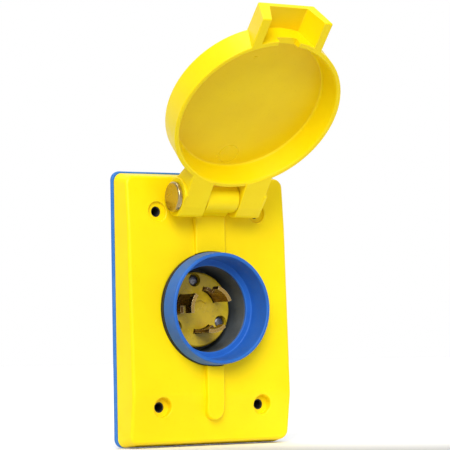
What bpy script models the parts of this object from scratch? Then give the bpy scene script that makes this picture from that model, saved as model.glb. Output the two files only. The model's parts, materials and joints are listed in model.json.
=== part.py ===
"""Weatherproof flip-lid inlet plate with a three-blade locking power inlet.

Frame: metres, +X to the right, +Z up, -Y outward from the wall.  The origin is the
centre of the sealing gasket's back face, where the plate is screwed onto its box.
Heights called "out" are measured outward from that face, so a point lies at y = -out.
"""

import math

import bmesh
import bpy
from mathutils import Matrix, Vector

MM = 0.001
GAP = 0.3 * MM                      # clearance left between touching pieces
WELD = 0.002 * MM                   # corners closer than this after a Boolean are one corner

# ---- plate and gasket -------------------------------------------------------
PLATE_W, PLATE_H = 81.0 * MM, 117.0 * MM
PLATE_CORNER = 3.8 * MM
PLATE_DRAFT = 1.3 * MM              # how far the front outline draws in
GASKET_T = 2.1 * MM
GASKET_PROUD = 0.5 * MM
GASKET_LIFT = 0.4 * MM
PLATE_BACK = GASKET_T + GAP
PLATE_SKIN = 3.0 * MM
PLATE_RIM = 4.5 * MM
# side profile of the front face: (z, out) from the top edge down to the bottom edge
FRONT = [(58.5 * MM, 10.7 * MM), (35.0 * MM, 12.5 * MM), (-37.0 * MM, 14.8 * MM), (-58.5 * MM, 11.2 * MM)]
SCREW_X, SCREW_Z = 24.6 * MM, 41.67 * MM
SCREW_HOLE_R, COUNTERBORE_R, COUNTERBORE_OUT = 2.3 * MM, 4.2 * MM, 10.4 * MM
GASKET_HOLE_R, GASKET_WINDOW_R = 2.5 * MM, 33.4 * MM
GASKET_WINDOW_HALF = (17.0 * MM, 50.0 * MM)
BOSS_R, RING_BOSS_R, PILOT_BOSS_R = 6.4 * MM, 26.4 * MM, 3.4 * MM
THROUGH = 60.0 * MM                 # longer than anything that a cutter has to pass through

# ---- collar, shroud and inlet ----------------------------------------------
COLLAR_R, COLLAR_LIP_R = 24.4 * MM, 23.7 * MM
COLLAR_SEAT, COLLAR_LIP = 12.9 * MM, 23.4 * MM
COLLAR_MOUTH_R, COLLAR_THROAT_R = 22.3 * MM, 21.3 * MM
NECK_R = 22.0 * MM
BACKING_R, BACKING_T = 24.5 * MM, 1.9 * MM      # stiff ring that the collar's foot presses on
LEDGE_OUT, LEDGE_T = 10.6 * MM, 1.3 * MM
SHROUD_R, SHROUD_BORE = 20.4 * MM, 18.6 * MM
SHROUD_BACK = -9.3 * MM
FLANGE_R, FLANGE_T = 26.6 * MM, 2.4 * MM
FLANGE_OUT = 4.3 * MM
RETAINER_R, RETAINER_T = 31.6 * MM, 1.6 * MM
RETAINER_SCREW_R, RETAINER_SCREW_ANGLES = 28.3 * MM, (35, 145, 215, 325)
RETAINER_SCREW_TIP, RETAINER_PILOT_END = 8.2 * MM, 9.0 * MM
FACE_R, FACE_OUT, CARRIER_BACK = 16.3 * MM, 1.4 * MM, -6.0 * MM
BLADE_ANGLES = {"line_blade": 45.0, "ground_blade": 165.0, "neutral_blade": 285.0}
BLADE_R, BLADE_T, BLADE_SPAN = 9.6 * MM, 1.5 * MM, 50.0
BLADE_TIP = 14.6 * MM
NOTCH_TOP, NOTCH_LONG = 5.2 * MM, 4.4 * MM
SCREW_ANGLE = 49.5                  # face screws sit this far round from each blade
FACE_SCREW_R = 12.9 * MM
FACE_SCREW_TIP, FACE_WELL_R, FACE_WELL_DEEP = -17.0 * MM, 2.9 * MM, 2.4 * MM

# ---- terminals behind the shroud -------------------------------------------
HOUSING_R, HOUSING_FRONT, HOUSING_BACK = 18.2 * MM, -9.6 * MM, -28.0 * MM
POCKET_HALF = 4.8 * MM
REAR_T = 3.0 * MM
REAR_SCREW_R, REAR_SCREW_TIP = 13.6 * MM, -22.0 * MM
TAIL_R, TAIL_T, TAIL_W, FOOT_T = 12.6 * MM, 1.4 * MM, 7.0 * MM, 1.5 * MM
TERMINAL_OUT = -19.0 * MM
CLAMP_R, CLAMP_T, CLAMP_W, CLAMP_L = 7.2 * MM, 2.0 * MM, 6.6 * MM, 7.0 * MM
WIRE_R, WIRE_HOLE_R = 10.9 * MM, 1.75 * MM

# ---- screws: (head radius, head height, shank radius, rounding of the head) -----
FACE_SCREW = (2.5 * MM, 1.6 * MM, 1.45 * MM, 0.8 * MM)
REAR_SCREW = (2.4 * MM, 1.3 * MM, 1.1 * MM, 0.5 * MM)
RETAINER_SCREW = (2.8 * MM, 1.4 * MM, 1.1 * MM, 0.5 * MM)
TERMINAL_SCREW = (3.1 * MM, 1.9 * MM, 1.6 * MM, 0.0)
PILOT_R = 1.35 * MM                 # for the rear and retainer screws
FACE_PILOT_R, FACE_WAY_R = 1.75 * MM, 1.9 * MM

# ---- hinge and lid ----------------------------------------------------------
PIN_OUT, PIN_Z, PIN_R = 20.4 * MM, 47.4 * MM, 2.4 * MM
PIN_HEAD_R, PIN_HEAD_T = 6.4 * MM, 1.8 * MM
KNUCKLE_HALF, LUG_END = 7.6 * MM, 20.2 * MM
LUG_R, LUG_FLAT, LUG_INSET = 8.4 * MM, 6.4 * MM, 0.8 * MM
KNUCKLE_R = 6.4 * MM
LID_REACH, LID_DROP = 47.2 * MM, 4.9 * MM
LID_R, LID_CROWN_R = 37.6 * MM, 37.3 * MM
LID_MOUTH_R, LID_CEILING_R = 35.4 * MM, 33.6 * MM
LID_DEPTH, LID_CEILING = 12.7 * MM, 10.1 * MM
LID_OPEN = 137.2                    # degrees from closed, as it stands
TAB_END, TAB_ROOT = 95.0 * MM, 77.0 * MM
TAB_HALF_RIM, TAB_HALF_CROWN, TAB_WALL = 16.8 * MM, 13.4 * MM, 4.2 * MM
NOTCH_HALF, NOTCH_DEEP = 5.0 * MM, 3.2 * MM
RIB_HALF, RIB_OUT, RIB_END = 4.2 * MM, 17.2 * MM, -47.6 * MM
ARM_HALF, ARM_OUT = 7.4 * MM, 14.7 * MM


# ---- helpers ----------------------------------------------------------------
def material(name, colour, roughness, metallic=0.0):
    mat = bpy.data.materials.new(name)
    mat.use_nodes = True
    shader = mat.node_tree.nodes["Principled BSDF"]
    shader.inputs["Base Color"].default_value = (*colour, 1.0)
    shader.inputs["Roughness"].default_value = roughness
    shader.inputs["Metallic"].default_value = metallic
    return mat


def add_object(name, mesh, mat=None):
    obj = bpy.data.objects.new(name, mesh)
    bpy.context.scene.collection.objects.link(obj)
    if mat:
        mesh.materials.append(mat)
    return obj


def mesh_from_bmesh(name, bm):
    bmesh.ops.recalc_face_normals(bm, faces=bm.faces)
    mesh = bpy.data.meshes.new(name)
    bm.to_mesh(mesh)
    bm.free()
    return mesh


def place(x, out, z):
    return Vector((x, -out, z))


def turned(name, profile, segments=48, mat=None):
    """Ring turned about the inlet's axis from a closed profile of (radius, out) points."""
    bm = bmesh.new()
    rings = []
    for i in range(segments):
        a = 2 * math.pi * i / segments
        rings.append([bm.verts.new(place(r * math.cos(a), out, r * math.sin(a))) for r, out in profile])
    count = len(profile)
    for i in range(segments):
        near, far = rings[i], rings[(i + 1) % segments]
        for j in range(count):
            k = (j + 1) % count
            bm.faces.new((near[j], near[k], far[k], far[j]))
    return add_object(name, mesh_from_bmesh(name, bm), mat)


def disc(name, radius, out_low, out_high, centre=(0.0, 0.0), segments=24, mat=None):
    """Solid cylinder whose axis points outward."""
    return prism(name, circle(radius, centre, segments), out_low, out_high, mat=mat)


def circle(radius, centre=(0.0, 0.0), segments=24):
    return [(centre[0] + radius * math.cos(2 * math.pi * i / segments),
             centre[1] + radius * math.sin(2 * math.pi * i / segments)) for i in range(segments)]


def rounded_box(half_w, half_h, radius, steps=4, centre=(0.0, 0.0)):
    points = []
    for sx, sz, start in ((1, 1, 0), (-1, 1, 90), (-1, -1, 180), (1, -1, 270)):
        for i in range(steps + 1):
            a = math.radians(start + 90 * i / steps)
            points.append((centre[0] + sx * (half_w - radius) + radius * math.cos(a),
                           centre[1] + sz * (half_h - radius) + radius * math.sin(a)))
    return points


def prism(name, outline, out_low, out_high, top=None, mat=None):
    """Outline of (x, z) points carried outward; top is an optional second outline."""
    bm = bmesh.new()
    low = [bm.verts.new(place(x, out_low, z)) for x, z in outline]
    high = [bm.verts.new(place(x, out_high, z)) for x, z in (top or outline)]
    bm.faces.new(low)
    bm.faces.new(high)
    for i in range(len(low)):
        j = (i + 1) % len(low)
        bm.faces.new((low[i], low[j], high[j], high[i]))
    return add_object(name, mesh_from_bmesh(name, bm), mat)


def bar_x(name, section, x_low, x_high, mat=None, section_high=None):
    """Section of (y, z) points carried along X."""
    bm = bmesh.new()
    low = [bm.verts.new((x_low, y, z)) for y, z in section]
    high = [bm.verts.new((x_high, y, z)) for y, z in (section_high or section)]
    bm.faces.new(low)
    bm.faces.new(high)
    for i in range(len(low)):
        j = (i + 1) % len(low)
        bm.faces.new((low[i], low[j], high[j], high[i]))
    return add_object(name, mesh_from_bmesh(name, bm), mat)


def bar_z(name, section, z_low, z_high, mat=None):
    """Section of (x, y) points carried along Z."""
    bm = bmesh.new()
    low = [bm.verts.new((x, y, z_low)) for x, y in section]
    high = [bm.verts.new((x, y, z_high)) for x, y in section]
    bm.faces.new(low)
    bm.faces.new(high)
    for i in range(len(low)):
        j = (i + 1) % len(low)
        bm.faces.new((low[i], low[j], high[j], high[i]))
    return add_object(name, mesh_from_bmesh(name, bm), mat)


def box(name, low, high, mat=None):
    section = [(low[1], low[2]), (high[1], low[2]), (high[1], high[2]), (low[1], high[2])]
    return bar_x(name, section, low[0], high[0], mat)


def combine(obj, other, operation):
    """Apply a Boolean with another object, weld its loose corners, and remove that object."""
    modifier = obj.modifiers.new("combine", "BOOLEAN")
    modifier.operation = operation
    modifier.solver = "EXACT"
    modifier.object = other
    bpy.context.view_layer.update()
    evaluated = obj.evaluated_get(bpy.context.evaluated_depsgraph_get())
    mesh = bpy.data.meshes.new_from_object(evaluated)
    bm = bmesh.new()
    bm.from_mesh(mesh)
    bmesh.ops.remove_doubles(bm, verts=bm.verts, dist=WELD)
    bmesh.ops.dissolve_degenerate(bm, dist=WELD, edges=bm.edges)
    bm.to_mesh(mesh)
    bm.free()
    obj.modifiers.clear()
    old = obj.data
    obj.data = mesh
    bpy.data.meshes.remove(old)
    bpy.data.objects.remove(other)
    mesh.name = obj.name
    return obj


def cut(obj, *cutters):
    for cutter in cutters:
        combine(obj, cutter, "DIFFERENCE")
    return obj


def join(obj, *others):
    for other in others:
        combine(obj, other, "UNION")
    return obj


def polar(radius, degrees):
    a = math.radians(degrees)
    return radius * math.cos(a), radius * math.sin(a)


def smooth(obj, degrees=32):
    obj.data.shade_smooth()
    obj.data.set_sharp_from_angle(angle=math.radians(degrees))
    return obj


# ---- cover plate and gasket --------------------------------------------------
def pillow(name, inset, skin, mat=None):
    """Drafted rounded block whose front follows the plate's side profile."""
    half_w, half_h = PLATE_W / 2 - inset, PLATE_H / 2 - inset
    radius = PLATE_CORNER - inset * 0.5
    back = rounded_box(half_w, half_h, radius)
    front = rounded_box(half_w - PLATE_DRAFT, half_h - PLATE_DRAFT, radius)
    block = prism(name, back, PLATE_BACK - inset * 0.2, 16 * MM, front, mat)
    reach = PLATE_H
    section = [(-(out - skin), z) for z, out in FRONT]
    section = [(section[0][0], reach)] + section + [(section[-1][0], -reach), (reach, -reach), (reach, reach)]
    return combine(block, bar_x("side_profile", section, -PLATE_W, PLATE_W), "INTERSECT")


def retainer_points():
    return [polar(RETAINER_SCREW_R, a) for a in RETAINER_SCREW_ANGLES]


def make_cover_plate(yellow):
    plate = pillow("cover_plate", 0.0, 0.0, yellow)
    pocket = pillow("pocket", PLATE_RIM, PLATE_SKIN)
    for sx in (-1, 1):
        for sz in (-1, 1):
            boss = (sx * SCREW_X, sz * SCREW_Z)
            cut(pocket, disc("boss", BOSS_R, -THROUGH, THROUGH, boss, 20))
    cut(pocket, disc("ring_boss", RING_BOSS_R, -THROUGH, THROUGH, segments=48))
    for point in retainer_points():
        cut(pocket, disc("boss", PILOT_BOSS_R, -THROUGH, THROUGH, point, 16))
    cut(plate, pocket)
    # raised arm from the collar up to the hinge knuckle, and the knuckle itself
    arm = [(-8 * MM, 23 * MM), (-ARM_OUT, 23 * MM), (-ARM_OUT, 40.2 * MM), (-8 * MM, 40.2 * MM)]
    join(plate, bar_x("arm", arm, -ARM_HALF, ARM_HALF))
    web = [(-9 * MM, 38.0 * MM), (-ARM_OUT, 40.0 * MM), (-(PIN_OUT - 2.5 * MM), PIN_Z - 5.9 * MM),
           (-(PIN_OUT - 2.5 * MM), PIN_Z + 5.6 * MM), (-9 * MM, PIN_Z + 5.6 * MM)]
    join(plate, bar_x("web", web, -KNUCKLE_HALF, KNUCKLE_HALF))
    join(plate, bar_x("knuckle", axis_circle(KNUCKLE_R, 24), -KNUCKLE_HALF, KNUCKLE_HALF))
    rib_outline = [(RIB_HALF, -23 * MM), (-RIB_HALF, -23 * MM)]
    for i in range(9):
        x, z = polar(RIB_HALF, 180 + 180 * i / 8)
        rib_outline.append((x, RIB_END + RIB_HALF + z))
    rib = prism("rib", rib_outline, 9 * MM, 20 * MM)
    rib_top = [(20 * MM, 0), (20 * MM, -60 * MM), (-(RIB_OUT - 2.6 * MM), -60 * MM), (-RIB_OUT, -39 * MM),
               (-RIB_OUT, 0)]
    join(plate, combine(rib, bar_x("rib_top", rib_top, -PLATE_W, PLATE_W), "INTERSECT"))
    # bores
    cut(plate, bar_x("pin_bore", axis_circle(PIN_R + GAP, 24), -THROUGH, THROUGH))
    cut(plate, disc("collar_seat", BACKING_R + GAP, COLLAR_SEAT, THROUGH, segments=64))
    cut(plate, disc("collar_bore", NECK_R + GAP, -THROUGH, THROUGH, segments=64))
    cut(plate, disc("flange_recess", RETAINER_R + MM, -THROUGH, FLANGE_OUT + GAP, segments=48))
    for sx in (-1, 1):
        for sz in (-1, 1):
            at = (sx * SCREW_X, sz * SCREW_Z)
            cut(plate, disc("screw_hole", SCREW_HOLE_R, -THROUGH, THROUGH, at, 20),
                disc("counterbore", COUNTERBORE_R, COUNTERBORE_OUT, THROUGH, at, 28))
    for point in retainer_points():
        cut(plate, disc("pilot", PILOT_R, -THROUGH, RETAINER_PILOT_END, point, 12))
    return smooth(plate, 25)


def axis_circle(radius, segments, centre=(-PIN_OUT, PIN_Z)):
    return [(centre[0] + radius * math.cos(2 * math.pi * i / segments),
             centre[1] + radius * math.sin(2 * math.pi * i / segments)) for i in range(segments)]


def make_gasket(blue):
    outline = rounded_box(PLATE_W / 2 + GASKET_PROUD, PLATE_H / 2 + GASKET_PROUD, PLATE_CORNER,
                          centre=(0.0, GASKET_LIFT))
    gasket = prism("plate_gasket", outline, 0.0, GASKET_T, mat=blue)
    cut(gasket, disc("round_window", GASKET_WINDOW_R, -THROUGH, THROUGH, segments=48))
    cut(gasket, prism("tall_window", rounded_box(*GASKET_WINDOW_HALF, PLATE_CORNER), -THROUGH, THROUGH))
    for sx in (-1, 1):
        for sz in (-1, 1):
            cut(gasket, disc("hole", GASKET_HOLE_R, -THROUGH, THROUGH, (sx * SCREW_X, sz * SCREW_Z), 16))
    return smooth(gasket)


# ---- collar, shroud and contact carrier --------------------------------------
def make_collar(blue):
    foot = COLLAR_SEAT + BACKING_T + 2 * GAP
    profile = [(NECK_R, FLANGE_OUT + 2 * GAP), (NECK_R, foot), (COLLAR_R, foot), (COLLAR_R, foot + 1.2 * MM),
               (COLLAR_LIP_R, COLLAR_LIP - 0.7 * MM), (COLLAR_LIP_R - 0.6 * MM, COLLAR_LIP),
               (COLLAR_MOUTH_R + 0.3 * MM, COLLAR_LIP), (COLLAR_MOUTH_R, COLLAR_LIP - 0.5 * MM),
               (COLLAR_THROAT_R, LEDGE_OUT + LEDGE_T), (SHROUD_BORE, LEDGE_OUT + LEDGE_T),
               (SHROUD_BORE, LEDGE_OUT), (SHROUD_R + GAP, LEDGE_OUT), (SHROUD_R + GAP, FLANGE_OUT + 2 * GAP)]
    return smooth(turned("sealing_collar", profile, 64, blue))


def make_backing_ring(black):
    low = COLLAR_SEAT + GAP
    return smooth(turned("collar_backing_ring", [(NECK_R + GAP, low), (BACKING_R, low), (BACKING_R, low + BACKING_T),
                                                 (NECK_R + GAP, low + BACKING_T)], 64, black))


def blade_section(angle, radius, thickness, span, steps=8):
    """Arc-shaped outline of one blade on its pitch circle."""
    points = []
    for sign in (1, -1):
        for i in range(steps + 1):
            a = angle + sign * span * (i / steps - 0.5)
            points.append(polar(radius + sign * thickness / 2, a))
    return points


def face_screw_points():
    return [polar(FACE_SCREW_R, a + SCREW_ANGLE) for a in BLADE_ANGLES.values()]


def make_shroud(black):
    rim = LEDGE_OUT - GAP
    profile = [(0.0, SHROUD_BACK), (SHROUD_R, SHROUD_BACK), (SHROUD_R, FLANGE_OUT - FLANGE_T),
               (FLANGE_R, FLANGE_OUT - FLANGE_T), (FLANGE_R, FLANGE_OUT), (SHROUD_R, FLANGE_OUT),
               (SHROUD_R, rim), (SHROUD_BORE + 0.3 * MM, rim), (SHROUD_BORE, rim - 0.5 * MM),
               (SHROUD_BORE, CARRIER_BACK - GAP), (0.0, CARRIER_BACK - GAP)]
    shroud = solid_of_turning("inlet_shroud", profile, 64, black)
    for angle in BLADE_ANGLES.values():
        section = blade_section(angle, BLADE_R, BLADE_T + 2 * GAP, BLADE_SPAN + 4)
        cut(shroud, prism("blade_slot", section, -THROUGH, 0.0))
    for point in face_screw_points():
        cut(shroud, disc("screw_way", FACE_WAY_R, -THROUGH, 0.0, point, 16))
    return smooth(shroud)


def solid_of_turning(name, profile, segments, mat):
    """Solid turned about the inlet's axis; the profile starts and ends on the axis."""
    bm = bmesh.new()
    low = bm.verts.new(place(0, profile[0][1], 0))
    high = bm.verts.new(place(0, profile[-1][1], 0))
    inner = profile[1:-1]
    rings = []
    for i in range(segments):
        a = 2 * math.pi * i / segments
        rings.append([bm.verts.new(place(r * math.cos(a), out, r * math.sin(a))) for r, out in inner])
    for i in range(segments):
        near, far = rings[i], rings[(i + 1) % segments]
        bm.faces.new((low, near[0], far[0]))
        bm.faces.new((high, far[-1], near[-1]))
        for j in range(len(inner) - 1):
            bm.faces.new((near[j], near[j + 1], far[j + 1], far[j]))
    return add_object(name, mesh_from_bmesh(name, bm), mat)


def make_carrier(tan):
    profile = [(0.0, CARRIER_BACK), (FACE_R, CARRIER_BACK), (FACE_R, FACE_OUT - 0.6 * MM),
               (FACE_R - 0.6 * MM, FACE_OUT), (0.0, FACE_OUT)]
    carrier = solid_of_turning("contact_carrier", profile, 48, tan)
    # raised arch round the middle of the face
    arch = []
    for radius, sign in ((4.6 * MM, 1), (3.4 * MM, -1)):
        for i in range(9):
            x, z = polar(radius, 90 + sign * (100 * i / 8 - 50))
            arch.append((x + 1.0 * MM, z + 0.6 * MM))
    join(carrier, prism("arch", arch, FACE_OUT - 1 * MM, FACE_OUT + 0.9 * MM))
    for angle in BLADE_ANGLES.values():
        section = blade_section(angle, BLADE_R, BLADE_T + 2 * GAP, BLADE_SPAN + 4)
        cut(carrier, prism("blade_slot", section, -THROUGH, THROUGH))
    for point in face_screw_points():
        cut(carrier, disc("screw_way", FACE_WAY_R, -THROUGH, THROUGH, point, 16),
            disc("screw_well", FACE_WELL_R, FACE_OUT - FACE_WELL_DEEP, THROUGH, point, 20))
    return smooth(carrier)


def make_blade(name, angle, brass):
    """Arc blade with its twist-lock notch, and the terminal tail behind it."""
    blade = prism(name, blade_section(angle, BLADE_R, BLADE_T, BLADE_SPAN), SHROUD_BACK - 1.2 * MM, BLADE_TIP,
                  mat=brass)
    turn = Matrix.Rotation(-math.radians(angle), 4, "Y")
    # tail: a foot behind the shroud, bent into a strap that runs back to the terminal screw
    back = -SHROUD_BACK + 0.4 * MM
    section = [(BLADE_R - 0.6 * MM, back), (TAIL_R + TAIL_T, back), (TAIL_R + TAIL_T, -TERMINAL_OUT + 6.0 * MM),
               (TAIL_R, -TERMINAL_OUT + 6.0 * MM), (TAIL_R, back + FOOT_T), (BLADE_R - 0.6 * MM, back + FOOT_T)]
    tail = bar_z("tail", section, -TAIL_W / 2, TAIL_W / 2)
    tail.data.transform(turn)
    cut(tail, along_radius("bore", 2.1 * MM, 5 * MM, 20 * MM, angle, TERMINAL_OUT, 16))
    join(blade, tail)
    # the notch that the mating connector turns into: a slot across one side of the blade
    notch = box("notch", (BLADE_R - 4 * MM, -(BLADE_TIP - NOTCH_TOP), 1.1 * MM),
                (BLADE_R + 4 * MM, -(BLADE_TIP - NOTCH_TOP - NOTCH_LONG), 9 * MM))
    notch.data.transform(turn)
    cut(blade, notch)
    return smooth(blade)


def along_radius(name, radius, r_low, r_high, angle, out, segments=16, mat=None):
    """Solid cylinder lying along the inlet's radius at the given angle and height."""
    section = [(-out + radius * math.cos(2 * math.pi * i / segments),
                radius * math.sin(2 * math.pi * i / segments)) for i in range(segments)]
    obj = bar_x(name, section, r_low, r_high, mat)
    obj.data.transform(Matrix.Rotation(-math.radians(angle), 4, "Y"))
    return obj


# ---- terminals ----------------------------------------------------------------
def make_terminal(prefix, angle, steel):
    """Clamp plate and the screw that draws it outward against the blade's tail."""
    turn = Matrix.Rotation(-math.radians(angle), 4, "Y")
    clamp = box(prefix + "_clamp", (CLAMP_R, -TERMINAL_OUT - CLAMP_L / 2, -CLAMP_W / 2),
                (CLAMP_R + CLAMP_T, -TERMINAL_OUT + CLAMP_L / 2, CLAMP_W / 2), steel)
    clamp.data.transform(turn)
    cut(clamp, along_radius("bore", TERMINAL_SCREW[2] + GAP, 0.0, THROUGH, angle, TERMINAL_OUT, 16))
    head_low = TAIL_R + TAIL_T + GAP
    head_r, head_t, shank_r, _ = TERMINAL_SCREW
    screw = along_radius(prefix + "_terminal_screw", shank_r, CLAMP_R - 0.6 * MM, head_low + 0.5 * MM, angle,
                         TERMINAL_OUT, 16, steel)
    head = along_radius("head", head_r, head_low, head_low + head_t, angle, TERMINAL_OUT, 20)
    slot = box("slot", (head_low + 1.0 * MM, -TERMINAL_OUT - 4 * MM, -0.45 * MM),
               (head_low + 4 * MM, -TERMINAL_OUT + 4 * MM, 0.45 * MM))
    slot.data.transform(turn)
    cut(join(screw, head), slot)
    on_axis = Vector((0.0, -TERMINAL_OUT, 0.0))
    for piece in (clamp, screw):
        piece.data.transform(Matrix.Translation(-on_axis))
        piece.location = on_axis
        smooth(piece)
    return clamp, screw


def make_housing(black):
    housing = disc("terminal_housing", HOUSING_R, HOUSING_BACK, HOUSING_FRONT, segments=48, mat=black)
    for angle in BLADE_ANGLES.values():
        pocket = box("pocket", (5.8 * MM, -HOUSING_FRONT - 5 * MM, -POCKET_HALF),
                     (30 * MM, -HOUSING_BACK - 2.4 * MM, POCKET_HALF))
        pocket.data.transform(Matrix.Rotation(-math.radians(angle), 4, "Y"))
        wire_x, wire_z = polar(WIRE_R, angle)
        cut(housing, pocket, disc("wire_way", WIRE_HOLE_R + 0.2 * MM, -THROUGH, -24 * MM, (wire_x, wire_z), 16))
    for point in face_screw_points():
        cut(housing, disc("pilot", FACE_PILOT_R, FACE_SCREW_TIP - MM, 0.0, point, 12))
    for point in rear_screw_points():
        cut(housing, disc("pilot", PILOT_R, -THROUGH, REAR_SCREW_TIP + MM, point, 12))
    return smooth(housing)


def rear_screw_points():
    return [polar(REAR_SCREW_R, a + 60) for a in BLADE_ANGLES.values()]


def make_rear_cover(black):
    front = HOUSING_BACK - GAP
    cover = disc("rear_cover", HOUSING_R, front - REAR_T, front, segments=48, mat=black)
    for angle in BLADE_ANGLES.values():
        cut(cover, disc("wire_way", WIRE_HOLE_R + 0.5 * MM, -THROUGH, 0.0, polar(WIRE_R, angle), 16))
    for point in rear_screw_points():
        cut(cover, disc("way", 1.6 * MM, -THROUGH, 0.0, point, 12))
    return smooth(cover)


# ---- fasteners -----------------------------------------------------------------
def screws(name, points, sizes, head_low, shank_end, facing, mat):
    """Identical cross-recess screws, one object each; facing is +1 outward or -1 to the rear."""
    head_r, head_t, shank_r, dome = sizes
    for number, at in enumerate(points, 1):
        top = head_low + facing * head_t
        profile = [(0.0, shank_end), (shank_r, shank_end), (shank_r, head_low), (head_r, head_low),
                   (head_r, top - facing * dome), (head_r * 0.55, top), (0.0, top)]
        piece = solid_of_turning(f"{name}_{number}", profile, 16, mat)
        for turn in (0, 90):
            bar = box("recess", (-head_r * 0.5, -(top + facing * MM), -0.35 * MM),
                      (head_r * 0.5, -(top - facing * 0.7 * MM), 0.35 * MM))
            bar.data.transform(Matrix.Rotation(math.radians(turn), 4, "Y"))
            cut(piece, bar)
        piece.location = place(at[0], 0.0, at[1])
        smooth(piece)


def make_retainer(steel):
    low = FLANGE_OUT - FLANGE_T - GAP
    ring = turned("inlet_retainer", [(SHROUD_R + GAP, low - RETAINER_T), (RETAINER_R, low - RETAINER_T),
                                     (RETAINER_R, low), (SHROUD_R + GAP, low)], 48, steel)
    for point in retainer_points():
        cut(ring, disc("way", 1.7 * MM, -THROUGH, THROUGH, point, 12))
    return smooth(ring)


# ---- hinge pin and lid -----------------------------------------------------------
def make_pin(steel):
    shank = bar_x("hinge_pin", axis_circle(PIN_R, 24), -LUG_END - 1.0 * MM, LUG_END + 2.4 * MM, steel)
    head_low, head_high = -LUG_END - GAP - PIN_HEAD_T, -LUG_END - GAP
    edge = 0.5 * MM
    join(shank, bar_x("head", axis_circle(PIN_HEAD_R, 40), head_low + edge, head_high))
    join(shank, bar_x("face", axis_circle(PIN_HEAD_R - edge, 40), head_low, head_low + edge + 0.05 * MM,
                      section_high=axis_circle(PIN_HEAD_R, 40)))
    groove = bar_x("groove", axis_circle(5 * MM, 16), LUG_END + GAP, LUG_END + GAP + 0.9 * MM)
    cut(shank, cut(groove, bar_x("core", axis_circle(PIN_R - 0.6 * MM, 24), 0.0, 30 * MM)))
    return smooth(shank)


def make_clip(steel):
    low = LUG_END + GAP + 0.1 * MM
    clip = bar_x("pin_retaining_clip", axis_circle(4.4 * MM, 24), low, low + 0.7 * MM, steel)
    mouth = box("mouth", (0.0, -PIN_OUT - (PIN_R - 0.45 * MM), PIN_Z - 9 * MM),
                (30 * MM, -PIN_OUT + (PIN_R - 0.45 * MM), PIN_Z))
    cut(clip, bar_x("bore", axis_circle(PIN_R - 0.35 * MM, 24), 0.0, 30 * MM), mouth)
    return smooth(clip)


def lid_ring(name, profile, segments, mat=None):
    """Solid cup turned about the lid's own axis, closed pose, hinge axis at the origin."""
    obj = solid_of_turning(name, profile, segments, mat)
    obj.data.transform(Matrix.Translation((0.0, 0.0, -LID_REACH)))
    return obj


def tab_section(half_rim, half_crown, out_rim, out_crown, t):
    return [(-half_rim, -out_rim, -t), (half_rim, -out_rim, -t), (half_crown, -out_crown, -t),
            (-half_crown, -out_crown, -t)]


def block(name, low, high):
    """Solid between two four-cornered ends."""
    bm = bmesh.new()
    a = [bm.verts.new(p) for p in low]
    b = [bm.verts.new(p) for p in high]
    bm.faces.new(a)
    bm.faces.new(b)
    for i in range(4):
        j = (i + 1) % 4
        bm.faces.new((a[i], a[j], b[j], b[i]))
    return add_object(name, mesh_from_bmesh(name, bm))


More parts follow.
